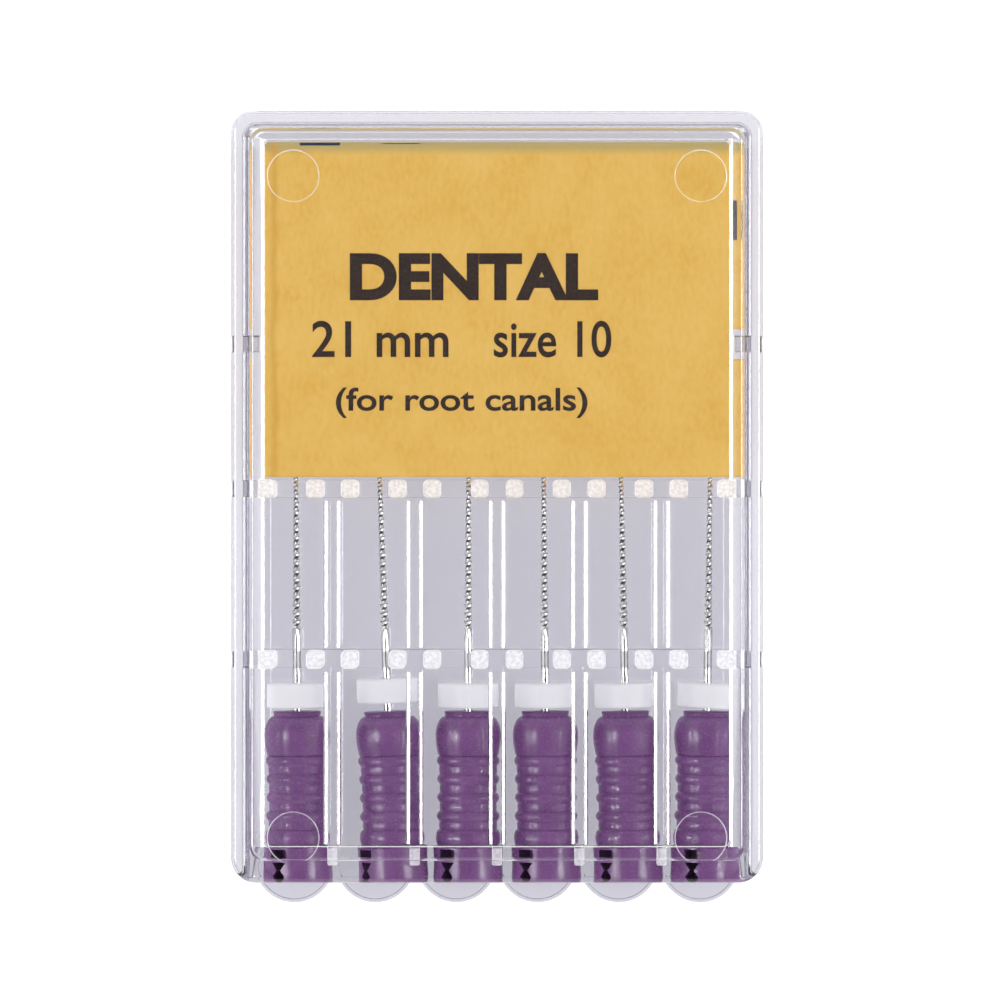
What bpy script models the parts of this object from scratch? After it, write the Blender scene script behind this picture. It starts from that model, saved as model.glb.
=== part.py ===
# A clear case that holds six endodontic hand files under a sliding cover, with a folded label card.
# The case lies on its back. X runs across the six bays, +Y from the open mouth, where the handles
# lie, to the closed label end, and +Z up through the front panel. The origin is under the middle of
# the whole case, on the surface that the case lies on.
import math

import bmesh
import bpy
from mathutils import Matrix, Vector

mm = 0.001

# Case
caseWidth = 32.3 * mm
caseLength = 46.9 * mm
caseHeight = 7.0 * mm
wall = 0.65 * mm
innerHalf = caseWidth / 2 - wall
mouthRadius = 1.5 * mm
labelRadius = 1.25 * mm
bayCount = 6
bayPitch = 5.0 * mm
tongueRadius = 2.45 * mm
tongueReach = 1.55 * mm

# Along the case: the mouth and the label end, with the tongues inside the centred length
labelY = (caseLength + tongueReach) / 2
mouthY = labelY - caseLength

# Cover
shoulderTop = 6.25 * mm
shoulderUnder = 5.5 * mm
panelHalfWidth = 15.0 * mm
panelSideWall = 0.82 * mm
panelMouthWall = 0.8 * mm
panelLabelWall = 0.66 * mm
panelMouthGap = 1.4 * mm
panelLabelGap = 1.05 * mm
panelRadius = 0.85 * mm
lipHeight = 0.4 * mm
lipReach = 0.4 * mm
ribWidth = 0.9 * mm
ribUnder = 5.2 * mm
ribStart = 1.05 * mm
ribGap = 0.2 * mm
keeperStart = 14.45 * mm
barUnder = 3.7 * mm
markRadius = 1.575 * mm
markDepth = 0.06 * mm
markInset = 2.65 * mm

# Tray
floorTop = 0.95 * mm
floorHalfWidth = 15.0 * mm
flangeHalfWidth = 15.4 * mm
flangeUnder = 0.5 * mm
railTop = 0.85 * mm
sideWallTop = 2.4 * mm
crossWallTop = 3.5 * mm
crossWallThickness = 1.1 * mm
crossWallDistances = (13.57 * mm, 23.95 * mm, 32.75 * mm)
endWallTop = 3.3 * mm
endWallHalfWidth = 14.1 * mm
endWallY = (labelY - 2.7 * mm, labelY - 2.1 * mm)
floorEndY = labelY - 1.0 * mm
cradleHalfWidth = 1.35 * mm
cradleFloor = 2.85 * mm
notchHalfWidth = 0.91 * mm
blockHalfReach = 1.98 * mm

# Label card
cardThickness = 0.2 * mm
cardHalfWidth = 14.85 * mm
cardShift = 0.2 * mm
cardZ = 5.35 * mm
cardStart = 24.66 * mm
cardFoldRadius = 0.5 * mm
cardFlapBottom = 1.5 * mm
cardFlapY = labelY - 1.93 * mm
cardNotchHalf = 0.85 * mm
cardNotchGap = 0.25 * mm

# Files
fileAxisZ = 3.15 * mm
handleLength = 10.35 * mm
handleSides = 18
ringPitch = 1.13 * mm
ringRise = 0.14 * mm
waistRadius = 1.76 * mm
workingLength = 21.0 * mm
flutedLength = 16.0 * mm
tipRadius = 0.05 * mm
flutedEndRadius = 0.21 * mm
shankRadius = 0.26 * mm
tangLength = 5.0 * mm
boreRadius = 0.29 * mm
stopRadius = 1.86 * mm
stopThickness = 1.52 * mm
stopHoleRadius = 0.3 * mm
stopGap = 0.2 * mm

# How each file happens to lie in its bay: the handle's shift across the bay, the tilt of the whole
# file about Z, the roll of the handle about its own axis, and the stop's extra distance and lean.
fileShifts = [shift * mm for shift in (0.31, 1.01, 0.75, 0.50, 0.46, 0.30)]
fileTilts = [math.radians(angle) for angle in (0.35, 2.05, 0.0, 0.45, 1.1, -0.7)]
fileRolls = [math.radians(angle) for angle in (-33, -52, -38, -38, -42, -25)]
stopShifts = [shift * mm for shift in (0.0, 0.3, 0.0, 0.0, 0.0, 0.0)]
stopLeans = [math.radians(angle) for angle in (0, 0, 0, 0, 0, 2)]

bayCentres = [(bay - (bayCount - 1) / 2) * bayPitch for bay in range(bayCount)]
dividers = [(bay - bayCount / 2) * bayPitch for bay in range(1, bayCount)]
crossWalls = [mouthY + distance for distance in crossWallDistances]


def clearScene():
    for thing in list(bpy.data.objects):
        bpy.data.objects.remove(thing)


def makeCollection(name):
    collection = bpy.data.collections.new(name)
    bpy.context.scene.collection.children.link(collection)
    return collection


def makeMaterial(name, color, roughness, metallic=0.0, transmission=0.0, ior=1.5):
    material = bpy.data.materials.new(name)
    material.use_nodes = True
    shader = material.node_tree.nodes["Principled BSDF"]
    shader.inputs["Base Color"].default_value = (*color, 1.0)
    shader.inputs["Roughness"].default_value = roughness
    shader.inputs["Metallic"].default_value = metallic
    shader.inputs["Transmission Weight"].default_value = transmission
    shader.inputs["IOR"].default_value = ior
    return material


def meshFrom(name, shape):
    mesh = bpy.data.meshes.new(name)
    bmesh.ops.recalc_face_normals(shape, faces=shape.faces)
    shape.to_mesh(mesh)
    shape.free()
    return mesh


def place(name, mesh, collection, material=None):
    thing = bpy.data.objects.new(name, mesh)
    if material:
        mesh.materials.clear()
        mesh.materials.append(material)
    collection.objects.link(thing)
    return thing


def addBox(shape, low, high):
    low, high = Vector(low), Vector(high)
    size = Matrix.Diagonal((*(high - low), 1.0))
    middle = Matrix.Translation((low + high) / 2)
    return bmesh.ops.create_cube(shape, size=1.0, matrix=middle @ size)["verts"]


def sideBox(side, inner, outer, start, end, low, high):
    # The corners of a box along one side of the case, from an inner to an outer distance from the middle.
    near, far = sorted((side * inner, side * outer))
    return (near, start, low), (far, end, high)


def boxes(name, corners):
    shape = bmesh.new()
    for low, high in corners:
        addBox(shape, low, high)
    return meshFrom(name, shape)


def discs(name, centres, radius, low, high, sides=24):
    shape = bmesh.new()
    for x, y in centres:
        middle = Matrix.Translation((x, y, (low + high) / 2))
        bmesh.ops.create_cone(
            shape, cap_ends=True, segments=sides, radius1=radius, radius2=radius,
            depth=high - low, matrix=middle,
        )
    return meshFrom(name, shape)


def isUpright(edge):
    start, end = edge.verts
    return abs(start.co.z - end.co.z) > 1e-6 and (start.co.xy - end.co.xy).length < 1e-7


def bevelEdges(shape, edges, radius, segments):
    bmesh.ops.bevel(
        shape, geom=edges, offset=radius, segments=segments, profile=0.5,
        affect="EDGES", clamp_overlap=True, material=-1,
    )


def roundedBox(name, low, high, mouthCorner, labelCorner, topRadius=0.0):
    # A box with rounded upright corners, and a rounded top edge where topRadius is given.
    shape = bmesh.new()
    addBox(shape, low, high)
    middleY = (low[1] + high[1]) / 2
    for radius, atLabelEnd in ((mouthCorner, False), (labelCorner, True)):
        corners = [
            edge for edge in shape.edges
            if isUpright(edge) and (edge.verts[0].co.y > middleY) == atLabelEnd
        ]
        bevelEdges(shape, corners, radius, 4)
    if topRadius:
        rim = [edge for edge in shape.edges if all(abs(v.co.z - high[2]) < 1e-7 for v in edge.verts)]
        bevelEdges(shape, rim, topRadius, 2)
    return meshFrom(name, shape)


def combine(target, operation, meshes, helpers):
    for mesh in meshes:
        helper = place(mesh.name, mesh, helpers)
        helper.hide_render = True
        helper.display_type = "WIRE"
        modifier = target.modifiers.new(mesh.name, "BOOLEAN")
        modifier.operation = operation
        modifier.solver = "EXACT"
        modifier.object = helper


def turned(name, profile, sides):
    # A turned solid about +Z. The profile runs from the axis, down the outer side, to the axis.
    shape = bmesh.new()
    points = [shape.verts.new((radius, 0.0, z)) for radius, z in profile]
    for start, end in zip(points, points[1:]):
        shape.edges.new((start, end))
    bmesh.ops.spin(
        shape, geom=shape.verts[:] + shape.edges[:], cent=(0, 0, 0), axis=(0, 0, 1),
        angle=math.tau, steps=sides, use_merge=True,
    )
    bmesh.ops.remove_doubles(shape, verts=shape.verts, dist=1e-7)
    mesh = meshFrom(name, shape)
    mesh.shade_smooth()
    mesh.set_sharp_from_angle(angle=math.radians(40))
    return mesh


def makeTray(parts, helpers, plastic):
    floor = roundedBox(
        "tray", (-floorHalfWidth, mouthY, 0), (floorHalfWidth, floorEndY, floorTop), 0.3 * mm, 0.8 * mm,
    )
    tray = place("tray", floor, parts, plastic)
    buried, step = 0.2 * mm, 0.05 * mm
    sideStart, sideEnd = mouthY + 0.1 * mm, floorEndY - mm
    rails = boxes("tray_rails", [
        sideBox(side, floorHalfWidth - buried, flangeHalfWidth, sideStart, sideEnd, flangeUnder, railTop)
        for side in (-1, 1)
    ])
    sides = boxes("tray_sides", [
        sideBox(side, floorHalfWidth - step, flangeHalfWidth, sideStart, sideEnd, railTop - buried, sideWallTop)
        for side in (-1, 1)
    ])
    walls = boxes("tray_cross_walls", [
        (
            (-floorHalfWidth - buried, y - crossWallThickness / 2, floorTop - buried),
            (floorHalfWidth + buried, y + crossWallThickness / 2, crossWallTop),
        )
        for y in crossWalls
    ])
    endWall = boxes("tray_end_wall", [
        ((-endWallHalfWidth, endWallY[0], floorTop - buried), (endWallHalfWidth, endWallY[1], endWallTop)),
    ])
    tongueY = mouthY - tongueReach + tongueRadius
    tongueCentres = [(x, tongueY) for x in bayCentres]
    tongues = discs("tray_tongues", tongueCentres, tongueRadius, 0.0, floorTop - 0.05 * mm, 32)
    dishes = discs(
        "tray_tongue_dishes", tongueCentres, tongueRadius - 0.35 * mm, floorTop - 0.35 * mm, 2 * floorTop,
    )
    cradles = boxes("tray_cradles", [
        (
            (x - cradleHalfWidth, y - crossWallThickness, cradleFloor),
            (x + cradleHalfWidth, y + crossWallThickness, crossWallTop + buried),
        )
        for x in bayCentres for y in crossWalls
    ])
    combine(tray, "UNION", [rails, sides, walls, endWall, tongues], helpers)
    combine(tray, "DIFFERENCE", [cradles, dishes], helpers)
    return tray


def makeCover(parts, helpers, plastic):
    half = caseWidth / 2
    buried = 0.3 * mm
    step = 0.05 * mm
    panelMouth, panelLabel = mouthY + panelMouthGap, labelY - panelLabelGap
    shell = roundedBox(
        "cover", (-half, mouthY, 0), (half, labelY, shoulderTop), mouthRadius, labelRadius, 0.35 * mm,
    )
    cover = place("cover", shell, parts, plastic)
    panel = roundedBox(
        "cover_panel", (-panelHalfWidth, panelMouth, shoulderTop - buried),
        (panelHalfWidth, panelLabel, caseHeight), panelRadius, panelRadius, 0.2 * mm,
    )
    cavity = roundedBox(
        "cover_cavity", (-innerHalf, mouthY - 2 * mm, -mm), (innerHalf, labelY - wall, shoulderUnder),
        0.3 * mm, labelRadius - wall / 2,
    )
    recess = roundedBox(
        "cover_recess", (panelSideWall - panelHalfWidth, panelMouth + panelMouthWall, shoulderUnder - buried),
        (panelHalfWidth - panelSideWall, panelLabel - panelLabelWall, shoulderTop), 0.5 * mm, 0.5 * mm,
    )
    lipStart, lipEnd = mouthY + mouthRadius, labelY - wall / 2
    lips = boxes("cover_lips", [
        sideBox(side, innerHalf - lipReach, innerHalf + buried, lipStart, lipEnd, 0, lipHeight)
        for side in (-1, 1)
    ])
    bars = crossWalls[:2]
    halfBar = crossWallThickness / 2
    beside = halfBar + ribGap
    inside = panelMouth + panelMouthWall + ribGap
    runs = [(inside, bars[0] - beside), (bars[0] + beside, bars[1] - beside)]
    ribs = boxes("cover_ribs", [
        (
            (x - ribWidth / 2, start, ribUnder),
            (x + ribWidth / 2, end, shoulderTop + buried),
        )
        for x in dividers for start, end in runs
    ])
    ribEnds = boxes("cover_rib_ends", [
        (
            (x - ribWidth / 2 + step, mouthY + ribStart, ribUnder + step),
            (x + ribWidth / 2 - step, inside + buried, shoulderTop - buried),
        )
        for x in dividers
    ])
    blocks = boxes("cover_blocks", [
        (
            (min(x + side * notchHalfWidth, x + side * blockHalfReach), y - halfBar, barUnder),
            (max(x + side * notchHalfWidth, x + side * blockHalfReach), y + halfBar, shoulderTop + buried),
        )
        for x in bayCentres for side in (-1, 1) for y in bars
    ])
    blockEnd = bayCentres[-1] + blockHalfReach - buried
    brackets = boxes("cover_brackets", [
        sideBox(
            side, start, innerHalf + buried, y - halfBar + step, y + halfBar - step,
            barUnder + step, shoulderUnder + buried,
        )
        for side in (-1, 1) for y, start in zip(crossWalls, (blockEnd, blockEnd, keeperStart))
    ])
    markCentres = [
        (side * (panelHalfWidth - markInset), y) for side in (-1, 1)
        for y in (panelMouth + 1.4 * mm, panelLabel - 2.9 * mm)
    ]
    marks = discs("cover_marks", markCentres, markRadius, caseHeight - markDepth, caseHeight + mm)
    combine(cover, "UNION", [panel], helpers)
    combine(cover, "DIFFERENCE", [cavity, recess], helpers)
    combine(cover, "UNION", [lips, ribs, ribEnds, blocks, brackets], helpers)
    combine(cover, "DIFFERENCE", [marks], helpers)
    return cover


def makeCard(parts, helpers, card):
    # The card's side view, from its free edge over the fold at the label end to the end flap.
    turns = [math.radians(angle) for angle in (90, 67.5, 45, 22.5, 0)]
    path = [(mouthY + cardStart, cardZ)]
    path += [
        (
            cardFlapY + cardFoldRadius * (math.cos(turn) - 1),
            cardZ + cardFoldRadius * (math.sin(turn) - 1),
        )
        for turn in turns
    ]
    path.append((cardFlapY, cardFlapBottom))
    shape = bmesh.new()
    points = [shape.verts.new((cardShift - cardHalfWidth, y, z)) for y, z in path]
    edges = [shape.edges.new(pair) for pair in zip(points, points[1:])]
    swept = bmesh.ops.extrude_edge_only(shape, edges=edges)["geom"]
    across = [thing for thing in swept if isinstance(thing, bmesh.types.BMVert)]
    bmesh.ops.translate(shape, verts=across, vec=(2 * cardHalfWidth, 0, 0))
    label = place("label_card", meshFrom("label_card", shape), parts, card)
    # Two side notches clear the cover's third pair of brackets, which keep the card in its place.
    reach, y = cardNotchHalf, crossWalls[2]
    notches = boxes("card_notches", [
        sideBox(side, keeperStart - cardNotchGap, innerHalf, y - reach, y + reach, 0, caseHeight)
        for side in (-1, 1)
    ])
    thickness = label.modifiers.new("thickness", "SOLIDIFY")
    thickness.thickness = cardThickness
    thickness.offset = 0.0
    thickness.use_even_offset = True
    combine(label, "DIFFERENCE", [notches], helpers)
    return label


def handleRadius(distance):
    # The handle's outer radius at a distance from its top: a collar, a bulb, four rings on a waist,
    # a wider ring and the end.
    ringsStart, ringsEnd = 2.7 * mm, 7.22 * mm
    if distance < 0.3 * mm:
        return 1.45 * mm
    if distance < ringsStart:
        bulb = (distance - 1.5 * mm) / (1.2 * mm)
        return 2.0 * mm - (0.5 if bulb < 0 else 0.13) * mm * bulb ** 2
    if distance < ringsEnd:
        ring = (distance - ringsStart) % ringPitch / (0.62 * mm)
        return waistRadius + (ringRise * math.sin(math.pi * ring) if ring < 1 else 0.0)
    if distance < 8.25 * mm:
        return 1.8 * mm + 0.18 * mm * math.sin(math.pi * (distance - ringsEnd) / (1.03 * mm))
    waist = math.cos(math.pi * (distance - 9.25 * mm) / (2.2 * mm))
    return 2.155 * mm - 0.05 * mm * waist


def makeHandleMesh(helpers, nylon):
    # Local +Z runs up from the handle's top face at z = 0 towards the tip, and the handle hangs below.
    firstRing = 2.71 * mm
    stations = [0.0, 0.25 * mm, 0.6 * mm, 0.95 * mm, 1.5 * mm, 2.2 * mm]
    stations += [firstRing + ringPitch * ring + part * mm for ring in range(4) for part in (0.0, 0.31, 0.63)]
    stations += [7.25 * mm, 7.5 * mm, 8.0 * mm, 8.24 * mm, 8.26 * mm, 9.25 * mm, handleLength - 0.25 * mm]
    outer = [(handleRadius(station), -station) for station in stations]
    outer.append((handleRadius(handleLength) - 0.25 * mm, -handleLength))
    bore = [(0.0, -tangLength - 0.1 * mm), (boreRadius, -tangLength - 0.1 * mm), (boreRadius, 0.0)]
    mesh = turned("handle", bore + outer + [(0.0, -handleLength)], handleSides)
    blank = place("handle_blank", mesh, helpers)
    slotFloor, clear = -0.9 * mm, -3 * mm
    slot = boxes("handle_slot", [((-0.56 * mm, clear, -9.0 * mm), (0.56 * mm, slotFloor, -8.36 * mm))])
    # The second slot is narrow at its middle, like an hourglass.
    waisted = bmesh.new()
    waistZ, waistHalf, endHalf, reach = -9.64 * mm, 0.15 * mm, 0.5 * mm, 0.48 * mm
    addBox(waisted, (-endHalf, clear, waistZ - reach), (endHalf, slotFloor, waistZ + reach))
    upright = [edge for edge in waisted.edges if isUpright(edge)]
    bmesh.ops.subdivide_edges(waisted, edges=upright, cuts=1)
    for v in waisted.verts:
        if abs(v.co.z - waistZ) < reach / 2:
            v.co.x = math.copysign(waistHalf, v.co.x)
    combine(blank, "DIFFERENCE", [slot, meshFrom("handle_waisted_slot", waisted)], helpers)
    bpy.context.view_layer.update()
    evaluated = blank.evaluated_get(bpy.context.evaluated_depsgraph_get())
    handle = bpy.data.meshes.new_from_object(evaluated)
    bpy.data.objects.remove(blank)
    handle.name = "handle"
    handle.materials.clear()
    handle.materials.append(nylon)
    return handle


def makeSteelMesh():
    shaft = [
        (0.0, workingLength), (0.5 * tipRadius, workingLength - 0.05 * mm),
        (tipRadius, workingLength - 0.25 * mm), (flutedEndRadius, workingLength - flutedLength),
        (shankRadius, workingLength - flutedLength - 0.6 * mm), (shankRadius, -tangLength),
        (0.0, -tangLength),
    ]
    return turned("steel", shaft, 8)


def makeStopMesh():
    soft = 0.12 * mm
    top = stopThickness
    ring = [
        (stopHoleRadius, 0.0), (stopHoleRadius, top), (stopRadius - soft, top), (stopRadius, top - soft),
        (stopRadius, soft), (stopRadius - soft, 0.0), (stopHoleRadius, 0.0),
    ]
    return turned("stop", ring, handleSides)


def makeFiles(parts, helpers, nylon, steel, silicone):
    handleMesh = makeHandleMesh(helpers, nylon)
    steelMesh = makeSteelMesh()
    stopMesh = makeStopMesh()
    for bay, x in enumerate(bayCentres):
        # The empty stands on the file's axis at the handle's top, with its own Z towards the tip.
        topY = mouthY + handleLength
        tilt = fileTilts[bay]
        axis = bpy.data.objects.new(f"file_{bay + 1}_axis", None)
        axis.location = (x + fileShifts[bay] - math.sin(tilt) * handleLength / 2, topY, fileAxisZ)
        axis.rotation_euler = (math.radians(-90), 0, tilt)
        axis.empty_display_size = mm
        parts.objects.link(axis)
        handle = place(f"handle_{bay + 1}", handleMesh, parts)
        handle.rotation_euler = (0, 0, fileRolls[bay])
        shaft = place(f"steel_{bay + 1}", steelMesh, parts, steel)
        stop = place(f"stop_{bay + 1}", stopMesh, parts, silicone)
        stop.location = (0, 0, stopGap + stopShifts[bay])
        stop.rotation_euler = (0, stopLeans[bay], 0)
        for piece in (handle, shaft, stop):
            piece.parent = axis


def main():
    clearScene()
    parts = makeCollection("hand_file_case")
    helpers = makeCollection("cutters")
    plastic = makeMaterial("clear polystyrene", (0.93, 0.93, 0.96), 0.04, transmission=1.0, ior=1.59)
    board = makeMaterial("gold card", (0.72, 0.46, 0.10), 0.55)
    nylon = makeMaterial("purple nylon", (0.20, 0.09, 0.25), 0.35)
    steel = makeMaterial("stainless steel", (0.60, 0.60, 0.62), 0.25, metallic=1.0)
    silicone = makeMaterial("white silicone", (0.85, 0.85, 0.87), 0.45)
    makeTray(parts, helpers, plastic)
    makeCover(parts, helpers, plastic)
    makeCard(parts, helpers, board)
    makeFiles(parts, helpers, nylon, steel, silicone)
    helpers.hide_render = True


main()
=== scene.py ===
# Looks of a clear sliding case with six endodontic hand files and its folded label card.
# Lengths are in millimetres while a mesh is being made, and finishPiece turns them to metres.
import math

import bmesh
import bpy
from mathutils import Matrix, Vector


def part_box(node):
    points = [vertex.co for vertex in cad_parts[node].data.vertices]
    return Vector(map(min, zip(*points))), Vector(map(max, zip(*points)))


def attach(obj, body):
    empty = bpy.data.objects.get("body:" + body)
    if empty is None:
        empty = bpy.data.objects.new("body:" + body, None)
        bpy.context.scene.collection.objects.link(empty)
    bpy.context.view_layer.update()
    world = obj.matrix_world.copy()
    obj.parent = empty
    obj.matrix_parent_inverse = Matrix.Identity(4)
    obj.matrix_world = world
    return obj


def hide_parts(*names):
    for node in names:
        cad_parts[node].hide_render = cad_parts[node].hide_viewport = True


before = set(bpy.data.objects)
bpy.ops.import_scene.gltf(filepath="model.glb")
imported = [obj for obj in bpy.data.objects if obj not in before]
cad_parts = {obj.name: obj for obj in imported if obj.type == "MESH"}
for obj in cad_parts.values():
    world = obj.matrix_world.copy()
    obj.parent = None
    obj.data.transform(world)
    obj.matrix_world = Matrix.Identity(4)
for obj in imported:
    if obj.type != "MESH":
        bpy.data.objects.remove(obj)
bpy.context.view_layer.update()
toMetres = 0.001
toMm = 1000.0
touching = 0.0001  # lengths that differ by less count as equal


def boxOf(node):
    low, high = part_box(node)
    return low * toMm, high * toMm


case = {
    "bays": 6,
    "bayPitch": 5.0,
    "crossWallsFromMouth": (13.57, 23.95, 32.75),
    "crossWallHalf": 0.55,
}
coverLow, coverHigh = boxOf("cover")
trayLow, trayHigh = boxOf("tray")
cardLow, cardHigh = boxOf("label_card")
mouthY, labelY = coverLow.y, coverHigh.y
bayCentres = [(bay - (case["bays"] - 1) / 2) * case["bayPitch"] for bay in range(case["bays"])]
dividers = [(bay - case["bays"] / 2) * case["bayPitch"] for bay in range(1, case["bays"])]
crossWalls = [mouthY + distance for distance in case["crossWallsFromMouth"]]
crossWallHalf = case["crossWallHalf"]


# Colours and materials

def linear(hexColor):
    channels = [int(hexColor[place:place + 2], 16) / 255 for place in (1, 3, 5)]
    return tuple(c / 12.92 if c <= 0.04045 else ((c + 0.055) / 1.055) ** 2.4 for c in channels) + (1.0,)


def addNode(tree, kind, settings=None, inputs=()):
    # Inputs go by name or in order: values, nodes for their first output, or (node, output name).
    node = tree.nodes.new(kind)
    for name, value in (settings or {}).items():
        setattr(node, name, value)
    for name, value in (inputs.items() if isinstance(inputs, dict) else enumerate(inputs)):
        if isinstance(value, bpy.types.Node):
            value = (value, 0)
        if isinstance(value, tuple) and isinstance(value[0], bpy.types.Node):
            tree.links.new(value[0].outputs[value[1]], node.inputs[name])
        else:
            node.inputs[name].default_value = value
    return node


# What a math node does, named for its use in the materials.
times, plus, larger, within, under, over, unsigned = (
    {"operation": name}
    for name in ("MULTIPLY", "ADD", "MAXIMUM", "COMPARE", "LESS_THAN", "GREATER_THAN", "ABSOLUTE")
)


def newMaterial(name, settings):
    material = bpy.data.materials.new(name)
    material.use_nodes = True
    tree = material.node_tree
    shader = tree.nodes["Principled BSDF"]
    for socket, value in settings.items():
        shader.inputs[socket].default_value = value
    return material, tree, shader


def setStops(ramp, stops):
    elements = ramp.color_ramp.elements
    while len(elements) < len(stops):
        elements.new(0.5)
    for element, (place, color) in zip(elements, stops):
        element.position = place
        element.color = color


polystyrene = {
    "coverTint": "#fcfcfd",  # what one solid passes
    "coverShade": "#fcfcfd",  # what each face passes to the light inside
    "outerBandPaintedShade": "#d3d2da",  # painted shade on the cover's outer band, for where light passes along the walls
    # the plastic's faint lavender tint, darkened well past the cover's: painted shade for the dimmer
    # ground seen through the tray
    "trayTintAndPaintedShade": "#c2c1ca",
    "trayShade": "#fafafc",
    "ior": 1.59,
    "roughness": 0.015,
    "scuffRoughness": 0.115,
    "scuffSize": 0.35,
    "scuffShape": (1.0, 0.06, 1.0),  # long along the case
    "scuffTurn": 0.35,
    "flowSize": 6.0,  # length of the soft waves left by the melt
    "flowHeight": 0.0015,
    "mattTint": "#fafafb",
    "mattGrain": 0.22,  # mould texture, drawn coarse enough to show
    "mattShares": (0.8, 1.0),
    "endShare": 0.6,
    "markShare": 0.36,
}


def mattAreas(tree, shader):
    # The cross-bar blocks, the ribs' mouth ends and the rims of the ejector marks are matt.
    spot = addNode(tree, "ShaderNodeTexCoord")
    place = addNode(tree, "ShaderNodeSeparateXYZ", inputs=[(spot, "Object")])
    x, y, z = ((place, axis) for axis in "XYZ")
    speckle = addNode(tree, "ShaderNodeTexNoise", inputs={
        "Vector": (spot, "Object"), "Scale": 1 / (polystyrene["mattGrain"] * toMetres), "Detail": 2.0,
    })
    weakest, strongest = polystyrene["mattShares"]
    grain = addNode(tree, "ShaderNodeMapRange", inputs={
        "Value": (speckle, "Fac"), "From Min": 0.4, "From Max": 0.6,
        "To Min": weakest, "To Max": strongest,
    })
    fainter = addNode(tree, "ShaderNodeMath", times, [grain, polystyrene["endShare"]])
    fromMiddle = addNode(tree, "ShaderNodeMath", unsigned, [x])
    sided = addNode(tree, "ShaderNodeCombineXYZ", inputs=[fromMiddle, y])
    blockEnd = bayCentres[-1] + cover["blockReach"] + 0.05
    areas = [  # each area's share of matt, and the limits that it lies between, in millimetres
        (grain, [
            (within, [y, wallY, crossWallHalf + 0.02]), (under, [z, cover["shoulderTop"] - 0.1]),
            (within, [x, 0.0, blockEnd]),
        ]) for wallY in crossWalls[:2]
    ]
    areas.append((fainter, [
        (under, [y, panelMouthY + 0.7]), (within, [x, 0.0, dividers[-1] + 1.0]),
        (under, [z, cover["shoulderUnder"] - 0.04]),
    ]))
    for markY in markYs:
        away = addNode(tree, "ShaderNodeVectorMath", {"operation": "DISTANCE"}, [
            sided, (markX * toMetres, markY * toMetres, 0.0),
        ])
        areas.append((polystyrene["markShare"], [
            (within, [(away, "Value"), cover["markRadius"], cover["markRim"]]),
            (over, [z, cover["panelTop"] - 0.2]),
        ]))
    amount = 0.0
    for share, limits in areas:
        for operation, (measure, *lengths) in limits:
            limit = addNode(tree, "ShaderNodeMath", operation, [
                measure, *(length * toMetres for length in lengths),
            ])
            share = addNode(tree, "ShaderNodeMath", times, [limit, share])
        amount = addNode(tree, "ShaderNodeMath", larger, [amount, share])
    matt = addNode(tree, "ShaderNodeBsdfDiffuse", inputs=[linear(polystyrene["mattTint"]), 0.5])
    return addNode(tree, "ShaderNodeMixShader", inputs=[amount, shader, matt])


def paintShadeOnOuterBand(tree, shader, tint):
    # Painted shade: beside the raised panel and past its label end the base colour is darkened, standing
    # in for light that has come a long way through the walls.
    spot = addNode(tree, "ShaderNodeTexCoord")
    place = addNode(tree, "ShaderNodeSeparateXYZ", inputs=[(spot, "Object")])
    fromMiddle = addNode(tree, "ShaderNodeMath", unsigned, [(place, "X")])
    beside, past = (
        addNode(tree, "ShaderNodeMath", over, [measure, (edge + 0.02) * toMetres])
        for measure, edge in ((fromMiddle, cover["panelHalfWidth"]), ((place, "Y"), panelLabelY))
    )
    band = addNode(tree, "ShaderNodeMath", larger, [beside, past])
    color = addNode(tree, "ShaderNodeMix", {"data_type": "RGBA"}, {
        "Factor": band, "A": linear(tint), "B": linear(polystyrene["outerBandPaintedShade"]),
    })
    tree.links.new(color.outputs["Result"], shader.inputs["Base Color"])


def clearPolystyrene(name, tint, shade, isCover=False):
    # Clear polystyrene, injection moulded and polished: bright edges, faint flow waves and scuffs.
    # Shadow and diffuse rays pass straight through it, so what lies inside is lit without noise.
    material, tree, shader = newMaterial(name, {
        "Base Color": linear(tint), "Transmission Weight": 1.0, "IOR": polystyrene["ior"],
    })
    body = shader
    if isCover:
        # painted shade on the cover's outer band
        paintShadeOnOuterBand(tree, shader, tint)
        body = mattAreas(tree, shader)
    rays = addNode(tree, "ShaderNodeLightPath")
    soft = addNode(tree, "ShaderNodeMath", larger, [(rays, "Is Shadow Ray"), (rays, "Is Diffuse Ray")])
    passing = addNode(tree, "ShaderNodeBsdfTransparent", inputs=[linear(shade)])
    mixed = addNode(tree, "ShaderNodeMixShader", inputs=[soft, body, passing])
    tree.links.new(mixed.outputs["Shader"], tree.nodes["Material Output"].inputs["Surface"])
    spot = addNode(tree, "ShaderNodeTexCoord")
    scuffSpace = addNode(tree, "ShaderNodeMapping", inputs={
        "Vector": (spot, "Object"), "Scale": polystyrene["scuffShape"],
        "Rotation": (0, 0, polystyrene["scuffTurn"]),
    })
    scuffs = addNode(tree, "ShaderNodeTexNoise", inputs={
        "Vector": scuffSpace, "Scale": 1 / (polystyrene["scuffSize"] * toMetres), "Detail": 3.0,
    })
    scuffed = addNode(tree, "ShaderNodeMapRange", inputs={
        "Value": (scuffs, "Fac"), "From Min": 0.62, "From Max": 0.8,
        "To Min": polystyrene["roughness"], "To Max": polystyrene["scuffRoughness"],
    })
    tree.links.new(scuffed.outputs["Result"], shader.inputs["Roughness"])
    flow = addNode(tree, "ShaderNodeTexNoise", inputs={
        "Vector": (spot, "Object"), "Scale": 1 / (polystyrene["flowSize"] * toMetres), "Detail": 1.0,
    })
    bump = addNode(tree, "ShaderNodeBump", inputs={
        "Height": (flow, "Fac"), "Distance": polystyrene["flowHeight"] * toMetres, "Strength": 1.0,
    })
    tree.links.new(bump.outputs["Normal"], shader.inputs["Normal"])
    return material


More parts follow.
